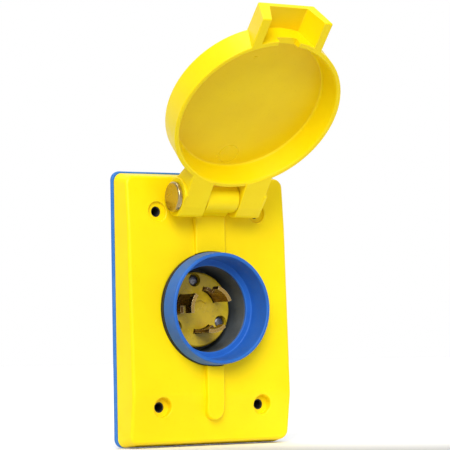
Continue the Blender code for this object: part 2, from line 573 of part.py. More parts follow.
def make_lid(yellow):
    """Built closed about the hinge axis, then stood open on its pin."""
    rim = -LID_DROP                       # out of the rim plane, from the pin's axis
    crown, ceiling = rim + LID_DEPTH, rim + LID_CEILING
    outside = [(0.0, rim), (LID_R, rim), (LID_CROWN_R, crown - 1.6 * MM),
               (LID_CROWN_R - 0.5 * MM, crown - 0.5 * MM), (LID_CROWN_R - 1.6 * MM, crown), (0.0, crown)]
    cup = lid_ring("flip_lid", outside, 72, yellow)
    # two hinge lugs: an arm with a flat on the side that faces the plate when the lid is shut, thinning
    # towards the cup, and a short barrel round the pin beyond it
    around = [math.radians(90 - 10 * i) for i in range(19)]
    arm = [(min(-LUG_R * math.sin(a), LUG_FLAT), LUG_R * math.cos(a)) for a in around]
    arm += [(LID_DROP, -16 * MM), (-2.4 * MM, -16 * MM)]
    step = 0.06 * MM
    barrel = [(min((LUG_R - step) * math.cos(a), LUG_FLAT - step), (LUG_R - step) * math.sin(a))
              for a in (math.radians(10 * i + 3) for i in range(36))]
    for side in (-1, 1):
        shoulder = side * (LUG_END - LUG_INSET)
        low, high = sorted((side * (KNUCKLE_HALF + 0.4 * MM), shoulder))
        join(cup, bar_x("lug", arm, low, high))
        low, high = sorted((shoulder - side * MM, side * LUG_END))
        join(cup, bar_x("barrel", barrel, low, high))
    # the pull tab: a channel open to the rim side and at its tip
    join(cup, block("tab", tab_section(TAB_HALF_RIM, TAB_HALF_CROWN, rim, crown, TAB_ROOT),
                    tab_section(TAB_HALF_RIM, TAB_HALF_CROWN, rim, crown, TAB_END)))
    # notch in the rim that clears the plate's lower rib
    cut(cup, box("notch", (-NOTCH_HALF, -rim - NOTCH_DEEP, -LID_REACH - LID_R - 2 * MM),
                 (NOTCH_HALF, -rim + 3 * MM, -LID_REACH - 20 * MM)))
    hollow = lid_ring("hollow", [(0.0, rim - 9 * MM), (LID_MOUTH_R, rim - 9 * MM), (LID_MOUTH_R, rim + 0.3 * MM),
                                 (LID_MOUTH_R - 0.8 * MM, rim + 1.2 * MM), (LID_CEILING_R, ceiling),
                                 (0.0, ceiling)], 72)
    cut(cup, hollow)
    grip = block("grip", tab_section(TAB_HALF_RIM - TAB_WALL + 1.2 * MM, TAB_HALF_CROWN - TAB_WALL, rim - 3 * MM,
                                     ceiling, TAB_ROOT - 10 * MM),
                 tab_section(TAB_HALF_RIM - TAB_WALL + 1.2 * MM, TAB_HALF_CROWN - TAB_WALL, rim - 3 * MM,
                             ceiling, TAB_END + 5 * MM))
    keep = lid_ring("keep", [(0.0, rim - 20 * MM), (LID_R + 0.15 * MM, rim - 20 * MM),
                             (LID_R + 0.15 * MM, 20 * MM), (0.0, 20 * MM)], 68)
    cut(cup, cut(grip, keep))
    cut(cup, bar_x("pin_bore", axis_circle(PIN_R + GAP, 24, (0.0, 0.0)), -THROUGH, THROUGH))
    smooth(cup, 28)
    cup.location = place(0.0, PIN_OUT, PIN_Z)
    cup.rotation_euler.x = -math.radians(LID_OPEN)
    return cup


def main():
    for obj in list(bpy.data.objects):
        bpy.data.objects.remove(obj)
    yellow = material("moulded_yellow", (0.93, 0.72, 0.02), 0.42)
    gasket_blue = material("gasket_blue", (0.08, 0.24, 0.58), 0.7)
    collar_blue = material("collar_blue", (0.05, 0.19, 0.52), 0.5)
    black = material("black_nylon", (0.03, 0.03, 0.035), 0.5)
    tan = material("contact_face", (0.45, 0.34, 0.08), 0.5)
    brass = material("brass", (0.45, 0.30, 0.12), 0.35, 1.0)
    steel = material("steel", (0.62, 0.61, 0.58), 0.3, 1.0)

    make_cover_plate(yellow)
    make_gasket(gasket_blue)
    make_collar(collar_blue)
    make_backing_ring(black)
    make_shroud(black)
    make_carrier(tan)
    for name, angle in BLADE_ANGLES.items():
        make_blade(name, angle, brass)
        make_terminal(name.replace("_blade", ""), angle, steel)
    make_housing(black)
    make_rear_cover(black)
    screws("carrier_screw", face_screw_points(), FACE_SCREW, FACE_OUT - FACE_WELL_DEEP + GAP, FACE_SCREW_TIP, 1,
           steel)
    screws("rear_cover_screw", rear_screw_points(), REAR_SCREW, HOUSING_BACK - 2 * GAP - REAR_T, REAR_SCREW_TIP,
           -1, steel)
    retainer_back = FLANGE_OUT - FLANGE_T - GAP - RETAINER_T - GAP
    screws("retainer_screw", retainer_points(), RETAINER_SCREW, retainer_back, RETAINER_SCREW_TIP, -1, steel)
    make_retainer(steel)
    make_pin(steel)
    make_clip(steel)
    make_lid(yellow)


main()
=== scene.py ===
import json
import math

import bmesh
import bpy
from mathutils import Matrix, Vector


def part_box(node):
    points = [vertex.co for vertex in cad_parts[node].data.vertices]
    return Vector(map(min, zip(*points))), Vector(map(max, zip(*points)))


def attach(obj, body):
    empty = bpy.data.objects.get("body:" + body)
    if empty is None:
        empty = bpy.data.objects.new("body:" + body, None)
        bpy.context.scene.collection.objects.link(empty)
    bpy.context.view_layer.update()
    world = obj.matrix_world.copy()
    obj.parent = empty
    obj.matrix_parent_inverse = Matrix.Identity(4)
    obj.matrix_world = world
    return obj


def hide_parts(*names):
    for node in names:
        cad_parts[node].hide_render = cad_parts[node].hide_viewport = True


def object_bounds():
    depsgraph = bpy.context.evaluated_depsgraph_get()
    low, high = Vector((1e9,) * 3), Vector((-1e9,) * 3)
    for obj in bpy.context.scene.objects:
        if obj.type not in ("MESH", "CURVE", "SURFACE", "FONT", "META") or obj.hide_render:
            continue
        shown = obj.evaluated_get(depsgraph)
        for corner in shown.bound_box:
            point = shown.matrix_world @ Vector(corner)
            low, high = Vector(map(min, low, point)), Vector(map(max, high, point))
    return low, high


# A weatherproof inlet plate: a moulded yellow cover and flip lid over a rubber-collared
# three-blade power inlet.  Metres, +X right, +Z up, -Y outward.  "out" is the height above
# the wall, so a point lies at y = -out.

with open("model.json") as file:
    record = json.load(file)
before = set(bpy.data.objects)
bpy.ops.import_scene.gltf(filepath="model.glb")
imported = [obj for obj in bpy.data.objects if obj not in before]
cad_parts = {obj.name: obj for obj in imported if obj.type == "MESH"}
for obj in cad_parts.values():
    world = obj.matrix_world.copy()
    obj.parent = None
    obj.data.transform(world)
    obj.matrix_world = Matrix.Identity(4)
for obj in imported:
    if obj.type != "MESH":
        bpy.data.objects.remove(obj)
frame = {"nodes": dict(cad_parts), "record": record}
cad_low, cad_high = [Vector(corner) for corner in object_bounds()]
record = frame["record"]
MM = 0.001
GAP = 0.3 * MM                             # clearance between pieces that fit together
WELD = 0.002 * MM                          # corners closer than this are one corner
UNDER, OVER = -5 * MM, 30 * MM             # cutters run from behind the back to well past the front

# ---- sizes taken from the frame ---------------------------------------------------
plate_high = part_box("cover_plate")[1]
gasket_low, gasket_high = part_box("plate_gasket")
collar_low, collar_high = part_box("sealing_collar")
backing_low, backing_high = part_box("collar_backing_ring")
pin_low, pin_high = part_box("hinge_pin")
shroud_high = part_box("inlet_shroud")[1]

HALF_W, HALF_H = plate_high.x, plate_high.z
PLATE_BACK = -plate_high.y
COLLAR_R, COLLAR_LIP = collar_high.x, -collar_low.y
COLLAR_FOOT = -backing_low.y + GAP
BACKING_R = backing_high.x
FLANGE_R = shroud_high.x
HINGE = Vector((0.0, (pin_low.y + pin_high.y) / 2, (pin_low.z + pin_high.z) / 2))
PIN_OUT, PIN_Z, HEAD_R = -HINGE.y, HINGE.z, (pin_high.z - pin_low.z) / 2

# ---- sizes that the plain solids share ---------------------------------------------
PLATE_CORNER, PLATE_DRAFT = 3.8 * MM, 1.3 * MM
PLATE_EDGE = 1.5 * MM                      # moulded radius round the front face
PLATE_SKIN, PLATE_RIM, POCKET_EDGE = 3.0 * MM, 4.5 * MM, 0.8 * MM
# the front face's side profile, (z, out), from the top edge down
FRONT = [(58.5 * MM, 10.7 * MM), (35.0 * MM, 12.5 * MM), (-37.0 * MM, 14.8 * MM), (-58.5 * MM, 11.2 * MM)]
CREASE = 1.6 * MM                          # half width over which its creases are rounded
SCREW_X, SCREW_Z = 24.6 * MM, 41.67 * MM
SCREW_HOLE_R, SCREW_BOSS_R = 2.3 * MM, 6.4 * MM
WELL_R, WELL_OUT, WELL_FLARE = 4.2 * MM, 10.4 * MM, 0.5 * MM
PILOT_R, PILOT_OUT, PILOT_BOSS_R, PILOT_CIRCLE = 1.35 * MM, 9.0 * MM, 3.4 * MM, 28.3 * MM
RING_BOSS_R = 26.4 * MM
SEAT_OUT, NECK_R = 12.9 * MM, 22.0 * MM
FLANGE_OUT, BLADE_TIP = 4.3 * MM, 14.6 * MM
ARM_HALF, ARM_OUT, ARM_LOW, ARM_HIGH = 7.4 * MM, 14.7 * MM, 23 * MM, 40.2 * MM
KNUCKLE_HALF, KNUCKLE_R = 7.6 * MM, 6.4 * MM
RIB_HALF, RIB_OUT, RIB_START, RIB_END, RIB_CREASE = 4.2 * MM, 17.2 * MM, -23 * MM, -47.6 * MM, -39 * MM
PIN_R, LUG_END, LUG_R, LUG_FLAT, LUG_INSET = 2.4 * MM, 20.2 * MM, 8.4 * MM, 6.4 * MM, 0.8 * MM
LID_REACH, LID_RIM, LID_CROWN, LID_CEILING = 47.2 * MM, -4.9 * MM, 7.8 * MM, 5.2 * MM
LID_R, LID_CROWN_R, LID_MOUTH_R, LID_CEILING_R = 37.6 * MM, 37.3 * MM, 35.4 * MM, 33.6 * MM
LID_OPEN = 137.2                           # degrees from closed
TAB_ROOT, TAB_END = 77.0 * MM, 95.0 * MM
TAB_HALF_RIM, TAB_HALF_CROWN, TAB_WALL = 16.8 * MM, 13.4 * MM, 4.2 * MM
NOTCH_HALF, NOTCH_DEEP = 5.0 * MM, 3.2 * MM
CARRIER_SCREW_SHANK, CARRIER_SCREW_HEAD = 1.45 * MM, 1.6 * MM

BEHIND = (0.507, 0.862, 0.0)               # level direction from the camera to the object

# turned shapes are made about +Z, then laid along one of these
OUTWARD = Matrix(((1, 0, 0, 0), (0, 0, -1, 0), (0, 1, 0, 0), (0, 0, 0, 1)))
ALONG_PIN = Matrix.Translation(HINGE) @ Matrix(((0, 0, 1, 0), (1, 0, 0, 0), (0, 1, 0, 0), (0, 0, 0, 1)))
SHUT_LID = Matrix.Translation((0.0, 0.0, -LID_REACH)) @ OUTWARD
OPEN_LID = Matrix.Translation(HINGE) @ Matrix.Rotation(-math.radians(LID_OPEN), 4, "X")


# ---- shapes ---------------------------------------------------------------------------
def new_object(name, bm, matrix=None):
    bmesh.ops.recalc_face_normals(bm, faces=bm.faces)
    mesh = bpy.data.meshes.new(name)
    bm.to_mesh(mesh)
    bm.free()
    if matrix:
        mesh.transform(matrix)
    obj = bpy.data.objects.new(name, mesh)
    bpy.context.scene.collection.objects.link(obj)
    return obj


def rounded(points, radii, steps=5):
    """The polygon with each corner turned into an arc of its own radius."""
    outline = []
    for i, (point, radius) in enumerate(zip(points, radii)):
        corner = Vector(point)
        before = Vector(points[i - 1]) - corner
        after = Vector(points[(i + 1) % len(points)]) - corner
        if radius <= 0.0:
            outline.append(tuple(corner))
            continue
        opening = before.angle(after)
        reach = min(radius / math.tan(opening / 2), 0.45 * before.length, 0.45 * after.length)
        radius = reach * math.tan(opening / 2)
        before.normalize()
        after.normalize()
        centre = corner + (before + after).normalized() * (radius / math.sin(opening / 2))
        start, end = corner + before * reach - centre, corner + after * reach - centre
        sweep = math.pi - opening
        for k in range(steps + 1):
            t = k / steps
            spoke = (start * math.sin((1 - t) * sweep) + end * math.sin(t * sweep)) / math.sin(sweep)
            outline.append(tuple(centre + spoke))
    return outline


def turned(name, profile, segments, matrix):
    """Solid turned from (radius, height) points: a closed ring, or a profile that ends on the axis."""
    bm = bmesh.new()
    on_axis = profile[0][0] == 0.0
    ends = [bm.verts.new((0.0, 0.0, profile[k][1])) for k in (0, -1)] if on_axis else []
    inner = profile[1:-1] if on_axis else profile
    rings = []
    for i in range(segments):
        a = 2 * math.pi * i / segments
        rings.append([bm.verts.new((r * math.cos(a), r * math.sin(a), h)) for r, h in inner])
    for i in range(segments):
        near, far = rings[i], rings[(i + 1) % segments]
        if on_axis:
            bm.faces.new((ends[0], near[0], far[0]))
            bm.faces.new((ends[1], far[-1], near[-1]))
        for j in range(len(inner) - (1 if on_axis else 0)):
            k = (j + 1) % len(inner)
            bm.faces.new((near[j], near[k], far[k], far[j]))
    return new_object(name, bm, matrix)


def circle(radius, centre=(0.0, 0.0), segments=48):
    return [(centre[0] + radius * math.cos(2 * math.pi * i / segments),
             centre[1] + radius * math.sin(2 * math.pi * i / segments)) for i in range(segments)]


def polar(radius, degrees):
    return radius * math.cos(math.radians(degrees)), radius * math.sin(math.radians(degrees))


def loft(name, rings, caps=(None, None)):
    """Skin over rings of points with equal counts; each end is one face, or the faces listed for it."""
    bm = bmesh.new()
    rows = [[bm.verts.new(p) for p in ring] for ring in rings]
    for near, far in zip(rows, rows[1:]):
        for i in range(len(near)):
            j = (i + 1) % len(near)
            bm.faces.new((near[i], near[j], far[j], far[i]))
    for row, faces in zip((rows[0], rows[-1]), caps):
        for face in faces or [range(len(row))]:
            bm.faces.new([row[i] for i in face])
    return new_object(name, bm)


def prism(name, outline, out_low, out_high):
    return loft(name, [[(x, -out, z) for x, z in outline] for out in (out_low, out_high)])


def bar_x(name, section, x_low, x_high):
    return loft(name, [[(x, y, z) for y, z in section] for x in (x_low, x_high)])


def disc(name, radius, out_low, out_high, centre=(0.0, 0.0), segments=48):
    return prism(name, circle(radius, centre, segments), out_low, out_high)


def box(name, low, high):
    section = [(low[1], low[2]), (high[1], low[2]), (high[1], high[2]), (low[1], high[2])]
    return bar_x(name, section, low[0], high[0])


def bevelled(obj, width, segments=3, angle=35.0):
    """Round the edges that are sharper than the angle."""
    bm = bmesh.new()
    bm.from_mesh(obj.data)
    limit = math.radians(angle)
    edges = [e for e in bm.edges if e.is_manifold and e.calc_face_angle() > limit]
    bmesh.ops.bevel(bm, geom=edges, offset=width, segments=segments, profile=0.5, affect="EDGES",
                    clamp_overlap=True)
    bm.to_mesh(obj.data)
    bm.free()
    return obj


def combine(obj, other, operation):
    """Apply a Boolean with another object, weld its loose corners, and remove that object."""
    modifier = obj.modifiers.new("combine", "BOOLEAN")
    modifier.operation = operation
    modifier.solver = "EXACT"
    modifier.object = other
    bpy.context.view_layer.update()
    mesh = bpy.data.meshes.new_from_object(obj.evaluated_get(bpy.context.evaluated_depsgraph_get()))
    obj.modifiers.clear()
    bm = bmesh.new()
    bm.from_mesh(mesh)
    bmesh.ops.remove_doubles(bm, verts=bm.verts, dist=WELD)
    bmesh.ops.dissolve_degenerate(bm, dist=WELD, edges=bm.edges)
    bm.to_mesh(mesh)
    bm.free()
    old = obj.data
    obj.data = mesh
    bpy.data.meshes.remove(old)
    bpy.data.objects.remove(other)
    return obj


def cut(obj, *cutters):
    for cutter in cutters:
        combine(obj, cutter, "DIFFERENCE")
    return obj


def join(obj, *others):
    for other in others:
        combine(obj, other, "UNION")
    return obj


# ---- materials --------------------------------------------------------------------------
def linear(code):
    """An sRGB hex colour as the linear values that shaders take."""
    channels = [int(code[i:i + 2], 16) / 255 for i in (0, 2, 4)]
    return tuple(c / 12.92 if c <= 0.04045 else ((c + 0.055) / 1.055) ** 2.4 for c in channels) + (1.0,)


def add(tree, kind, settings=None, links=None, out=0):
    """Add one node and give back one of its outputs.  Settings name its properties or its inputs;
    links name inputs and what feeds them."""
    node = tree.nodes.new("ShaderNode" + kind)
    for key, value in (settings or {}).items():
        if isinstance(key, str) and hasattr(node, key):
            setattr(node, key, value)
        else:
            node.inputs[key].default_value = value
    for key, socket in (links or {}).items():
        tree.links.new(socket, node.inputs[key])
    return node.outputs[out]


def begin(name, settings):
    """A new material with its shader's own settings, and the piece's own metres to lay patterns out in."""
    material = bpy.data.materials.new(name)
    material.use_nodes = True
    tree = material.node_tree
    shader = tree.nodes["Principled BSDF"].inputs
    for key, value in settings.items():
        shader[key].default_value = value
    return material, tree, shader, add(tree, "TexCoord", out="Object")


def edge_wear_and_highlight(tree, radius, wear_and_highlight=1.0, sharpest=0.80):
    """0 on open surfaces and rising to the given amount along edges: wear where handling rubs on the
    plastics, and painted highlight on the metals.  It compares the true normal with a rounded one; the mark
    is full where their dot product is down to sharpest."""
    soft = add(tree, "Bevel", {"samples": 4, "Radius": radius})
    flat = add(tree, "NewGeometry", out="Normal")
    match = add(tree, "VectorMath", {"operation": "DOT_PRODUCT"}, {0: soft, 1: flat}, out="Value")
    return add(tree, "MapRange", {"From Min": 0.995, "From Max": sharpest, "To Max": wear_and_highlight}, {"Value": match})


def dress(material, tree, shader, colour, roughness, relief):
    """Join colour and roughness to the shader, and stack bumps of (pattern, depth), coarsest first."""
    tree.links.new(colour, shader["Base Color"])
    tree.links.new(roughness, shader["Roughness"])
    normal = None
    for pattern, depth in relief:
        links = {"Height": pattern, "Normal": normal} if normal else {"Height": pattern}
        normal = add(tree, "Bump", {"Distance": depth}, links)
    tree.links.new(normal, shader["Normal"])
    return material


def moulded_polycarbonate(name, pale, deep, specked):
    """Yellow polycarbonate, injection moulded: a satin skin with faint flow mottling that glows a little
    where it is thin, pale rubbed edges and hair scratches."""
    material, tree, shader, place = begin(name, {
        "IOR": 1.58, "Specular IOR Level": 0.16, "Subsurface Weight": 0.06, "Subsurface Scale": 1.2 * MM,
        "Subsurface Radius": (1.0, 0.6, 0.08)})
    flow = add(tree, "TexNoise", {"Scale": 1 / (22 * MM), "Detail": 3.0}, {"Vector": place})
    flow = add(tree, "MapRange", {"From Min": 0.35, "From Max": 0.65}, {"Value": flow})
    colour = add(tree, "Mix", {"data_type": "RGBA", 6: linear(deep), 7: linear(pale)}, {0: flow}, out=2)
    specks = add(tree, "TexNoise", {"Scale": 1 / (0.9 * MM), "Detail": 4.0}, {"Vector": place})
    specks = add(tree, "MapRange", {"From Min": 0.60, "From Max": 0.74, "To Max": 0.35}, {"Value": specks})
    colour = add(tree, "Mix", {"data_type": "RGBA", 7: linear(specked)}, {0: specks, 6: colour}, out=2)
    patchy = add(tree, "TexNoise", {"Scale": 1 / (3.0 * MM), "Detail": 3.0}, {"Vector": place})
    patchy = add(tree, "MapRange", {"From Min": 0.35, "From Max": 0.65, "To Min": 0.15, "To Max": 0.6},
                 {"Value": patchy})
    wear = add(tree, "Math", {"operation": "MULTIPLY"}, {0: edge_wear_and_highlight(tree, 0.5 * MM), 1: patchy})
    colour = add(tree, "Mix", {"data_type": "RGBA", 7: linear("FFF03A")}, {0: wear, 6: colour}, out=2)
    gloss = add(tree, "TexNoise", {"Scale": 1 / (6 * MM), "Detail": 5.0}, {"Vector": place})
    gloss = add(tree, "MapRange", {"From Min": 0.3, "From Max": 0.7, "To Min": 0.33, "To Max": 0.47},
                {"Value": gloss})
    sink = add(tree, "TexNoise", {"Scale": 1 / (9 * MM), "Detail": 1.0}, {"Vector": place})
    # the mould's spark-eroded texture is about 0.1 mm; drawn at 0.5 mm so that it shows
    eroded = add(tree, "TexNoise", {"Scale": 1 / (0.5 * MM), "Detail": 2.0}, {"Vector": place})
    streaks = add(tree, "Mapping", {"Scale": (1.0, 9.0, 1.0)}, {"Vector": place})
    scratches = add(tree, "TexNoise", {"Scale": 1 / (0.7 * MM), "Detail": 3.0}, {"Vector": streaks})
    return dress(material, tree, shader, colour, gloss,
                 [(sink, 0.03 * MM), (eroded, 0.006 * MM), (scratches, 0.003 * MM)])


def cellular_gasket():
    """Blue neoprene foam, die cut: matt and pitted with closed cells, and dusty in patches."""
    material, tree, shader, place = begin("cellular_neoprene_gasket", {
        "IOR": 1.52, "Specular IOR Level": 0.3})
    # cells are about 0.3 mm; drawn at 0.6 mm so that they show
    cells = add(tree, "TexVoronoi", {"Scale": 1 / (0.6 * MM)}, {"Vector": place})
    between = add(tree, "MapRange", {"From Min": 0.1, "From Max": 0.6}, {"Value": cells})
    colour = add(tree, "Mix", {"data_type": "RGBA", 6: linear("2A68BC"), 7: linear("3A7CCC")},
                 {0: between}, out=2)
    dust = add(tree, "TexNoise", {"Scale": 1 / (7 * MM), "Detail": 4.0}, {"Vector": place})
    dust = add(tree, "MapRange", {"From Min": 0.45, "From Max": 0.75, "To Max": 0.35}, {"Value": dust})
    colour = add(tree, "Mix", {"data_type": "RGBA", 7: linear("5E93CE")}, {0: dust, 6: colour}, out=2)
    matt = add(tree, "TexNoise", {"Scale": 1 / (2 * MM), "Detail": 3.0}, {"Vector": place})
    matt = add(tree, "MapRange", {"From Min": 0.3, "From Max": 0.7, "To Min": 0.62, "To Max": 0.85},
               {"Value": matt})
    waves = add(tree, "TexNoise", {"Scale": 1 / (5 * MM), "Detail": 2.0}, {"Vector": place})
    return dress(material, tree, shader, colour, matt, [(waves, 0.05 * MM), (cells, 0.05 * MM)])


def moulded_elastomer():
    """Blue thermoplastic elastomer, moulded: silky and a little dusty, with a soft sheen."""
    material, tree, shader, place = begin("moulded_elastomer", {
        "IOR": 1.5, "Specular IOR Level": 0.35, "Sheen Weight": 0.03, "Sheen Roughness": 0.5})
    flow = add(tree, "TexNoise", {"Scale": 1 / (12 * MM), "Detail": 3.0}, {"Vector": place})
    flow = add(tree, "MapRange", {"From Min": 0.35, "From Max": 0.65}, {"Value": flow})
    colour = add(tree, "Mix", {"data_type": "RGBA", 6: linear("1C5EB6"), 7: linear("2468C2")},
                 {0: flow}, out=2)
    dust = add(tree, "TexNoise", {"Scale": 1 / (0.8 * MM), "Detail": 5.0}, {"Vector": place})
    dust = add(tree, "MapRange", {"From Min": 0.58, "From Max": 0.75, "To Max": 0.4}, {"Value": dust})
    colour = add(tree, "Mix", {"data_type": "RGBA", 7: linear("3478CA")}, {0: dust, 6: colour}, out=2)
    wear_and_highlight = edge_wear_and_highlight(tree, 0.6 * MM, wear_and_highlight=0.5)
    colour = add(tree, "Mix", {"data_type": "RGBA", 7: linear("4490DE")}, {0: wear_and_highlight, 6: colour}, out=2)
    silk = add(tree, "TexNoise", {"Scale": 1 / (3 * MM), "Detail": 4.0}, {"Vector": place})
    silk = add(tree, "MapRange", {"From Min": 0.3, "From Max": 0.7, "To Min": 0.40, "To Max": 0.56},
               {"Value": silk})
    waves = add(tree, "TexNoise", {"Scale": 1 / (4 * MM), "Detail": 2.0}, {"Vector": place})
    skin = add(tree, "TexNoise", {"Scale": 1 / (0.5 * MM), "Detail": 2.0}, {"Vector": place})
    return dress(material, tree, shader, colour, silk, [(waves, 0.03 * MM), (skin, 0.008 * MM)])


def glass_filled_nylon(name, dark, light, fibre):
    """Black glass-filled nylon, moulded: short fibres show as pale specks, under a dry sheen."""
    material, tree, shader, place = begin(name, {"IOR": 1.53})
    flow = add(tree, "TexNoise", {"Scale": 1 / (8 * MM), "Detail": 3.0}, {"Vector": place})
    flow = add(tree, "MapRange", {"From Min": 0.35, "From Max": 0.65}, {"Value": flow})
    colour = add(tree, "Mix", {"data_type": "RGBA", 6: linear(dark), 7: linear(light)}, {0: flow}, out=2)
    along = add(tree, "Mapping", {"Scale": (1.0, 1.0, 4.0)}, {"Vector": place})
    fibres = add(tree, "TexNoise", {"Scale": 1 / (0.5 * MM), "Detail": 3.0}, {"Vector": along})
    fibres = add(tree, "MapRange", {"From Min": 0.60, "From Max": 0.72, "To Max": 0.5}, {"Value": fibres})
    colour = add(tree, "Mix", {"data_type": "RGBA", 7: linear(fibre)}, {0: fibres, 6: colour}, out=2)
    dry = add(tree, "TexNoise", {"Scale": 1 / (2 * MM), "Detail": 3.0}, {"Vector": place})
    dry = add(tree, "MapRange", {"From Min": 0.3, "From Max": 0.7, "To Min": 0.45, "To Max": 0.62},
              {"Value": dry})
    waves = add(tree, "TexNoise", {"Scale": 1 / (3 * MM), "Detail": 2.0}, {"Vector": place})
    grit = add(tree, "TexNoise", {"Scale": 1 / (0.4 * MM), "Detail": 3.0}, {"Vector": place})
    return dress(material, tree, shader, colour, dry, [(waves, 0.02 * MM), (grit, 0.012 * MM)])


def moulded_contact_face():
    """Tan-yellow thermoset moulding, glossy and slightly cloudy, with darker flow marks."""
    material, tree, shader, place = begin("moulded_contact_face", {"IOR": 1.55})
    cloud = add(tree, "TexNoise", {"Scale": 1 / (9 * MM), "Detail": 4.0}, {"Vector": place})
    cloud = add(tree, "MapRange", {"From Min": 0.35, "From Max": 0.65}, {"Value": cloud})
    colour = add(tree, "Mix", {"data_type": "RGBA", 6: linear("C6A41E"), 7: linear("E6C624")},
                 {0: cloud}, out=2)
    marks = add(tree, "TexNoise", {"Scale": 1 / (1.2 * MM), "Detail": 4.0}, {"Vector": place})
    marks = add(tree, "MapRange", {"From Min": 0.55, "From Max": 0.75, "To Max": 0.4}, {"Value": marks})
    colour = add(tree, "Mix", {"data_type": "RGBA", 7: linear("9C8230")}, {0: marks, 6: colour}, out=2)
    gloss = add(tree, "TexNoise", {"Scale": 1 / (3 * MM), "Detail": 3.0}, {"Vector": place})
    gloss = add(tree, "MapRange", {"From Min": 0.3, "From Max": 0.7, "To Min": 0.16, "To Max": 0.30},
                {"Value": gloss})
    waves = add(tree, "TexNoise", {"Scale": 1 / (3 * MM), "Detail": 2.0}, {"Vector": place})
    skin = add(tree, "TexNoise", {"Scale": 1 / (0.4 * MM), "Detail": 2.0}, {"Vector": place})
    return dress(material, tree, shader, colour, gloss, [(waves, 0.02 * MM), (skin, 0.006 * MM)])


def stamped_brass():
    """Stamped brass blade stock: its dark brown is a painted reflection of dark surroundings, and its tips
    and edges carry painted highlights."""
    material, tree, shader, place = begin("stamped_brass", {"Metallic": 1.0})
    # dark brown stands in for the dark surroundings that the brass reflects: painted reflection
    dark_reflection = add(tree, "TexNoise", {"Scale": 1 / (3 * MM), "Detail": 4.0}, {"Vector": place})
    dark_reflection = add(tree, "MapRange", {"From Min": 0.3, "From Max": 0.7}, {"Value": dark_reflection})
    colour = add(tree, "Mix", {"data_type": "RGBA", 6: linear("5E4222"), 7: linear("92703C")},
                 {0: dark_reflection}, out=2)
    # lighter at the tips: painted highlight
    height = add(tree, "SeparateXYZ", {}, {0: place}, out="Y")
    tip_highlight = add(tree, "MapRange", {"From Min": -BLADE_TIP + 0.5 * MM, "From Max": -BLADE_TIP + 0.2 * MM},
              {"Value": height})
    colour = add(tree, "Mix", {"data_type": "RGBA", 7: linear("CFAA60")}, {0: tip_highlight, 6: colour}, out=2)
    # lighter along the edges: painted highlight
    bright = edge_wear_and_highlight(tree, 0.3 * MM, sharpest=0.8585)
    colour = add(tree, "Mix", {"data_type": "RGBA", 7: linear("FFEDBC")}, {0: bright, 6: colour}, out=2)
    stroke = add(tree, "Mapping", {"Scale": (1.0, 0.12, 1.0)}, {"Vector": place})
    drag = add(tree, "TexNoise", {"Scale": 1 / (0.5 * MM), "Detail": 4.0}, {"Vector": stroke})
    gloss = add(tree, "MapRange", {"From Min": 0.3, "From Max": 0.7, "To Min": 0.20, "To Max": 0.38},
                {"Value": drag})
    waves = add(tree, "TexNoise", {"Scale": 1 / (2 * MM), "Detail": 2.0}, {"Vector": place})
    return dress(material, tree, shader, colour, gloss, [(waves, 0.01 * MM), (drag, 0.004 * MM)])


def turned_stainless():
    """Stainless steel, turned: fine rings round the pin's axis catch the light, with a few handling
    scratches.
    Its tan is a painted reflection of the yellow around it, and its edges carry painted highlights."""
    material, tree, shader, place = begin("turned_stainless", {"Metallic": 1.0})
    centred = add(tree, "Mapping", {"Location": tuple(-HINGE)}, {"Vector": place})
    # turning marks are about 0.1 mm apart; drawn 0.89 mm apart so that they show.  The wave
    # texture repeats every pi / 10 of its own units
    rings = add(tree, "TexWave", {
        "wave_type": "RINGS", "rings_direction": "X", "Scale": math.pi / 10 / (0.89 * MM), "Distortion": 0.6,
        "Detail": 2.0}, {"Vector": centred}, out="Fac")
    # the tan stands in for the yellow plate that the steel reflects: painted reflection
    tan_reflection = add(tree, "TexNoise", {"Scale": 1 / (6 * MM), "Detail": 3.0}, {"Vector": place})
    tan_reflection = add(tree, "MapRange", {"From Min": 0.3, "From Max": 0.7}, {"Value": tan_reflection})
    colour = add(tree, "Mix", {"data_type": "RGBA", 6: linear("B4A070"), 7: linear("C2AE80")},
                 {0: tan_reflection}, out=2)
    # lighter along the edges: painted highlight
    edge_highlight = edge_wear_and_highlight(tree, 0.5 * MM, wear_and_highlight=0.9)
    colour = add(tree, "Mix", {"data_type": "RGBA", 7: linear("FFF6DC")}, {0: edge_highlight, 6: colour}, out=2)
    across = add(tree, "Mapping", {"Scale": (1.0, 1.0, 7.0)}, {"Vector": place})
    scratches = add(tree, "TexNoise", {"Scale": 1 / (0.6 * MM), "Detail": 4.0}, {"Vector": across})
    gloss = add(tree, "TexNoise", {"Scale": 1 / (1.5 * MM), "Detail": 3.0}, {"Vector": place})
    gloss = add(tree, "MapRange", {"From Min": 0.3, "From Max": 0.7, "To Min": 0.26, "To Max": 0.34},
                {"Value": gloss})
    return dress(material, tree, shader, colour, gloss, [(rings, 0.002 * MM), (scratches, 0.001 * MM)])


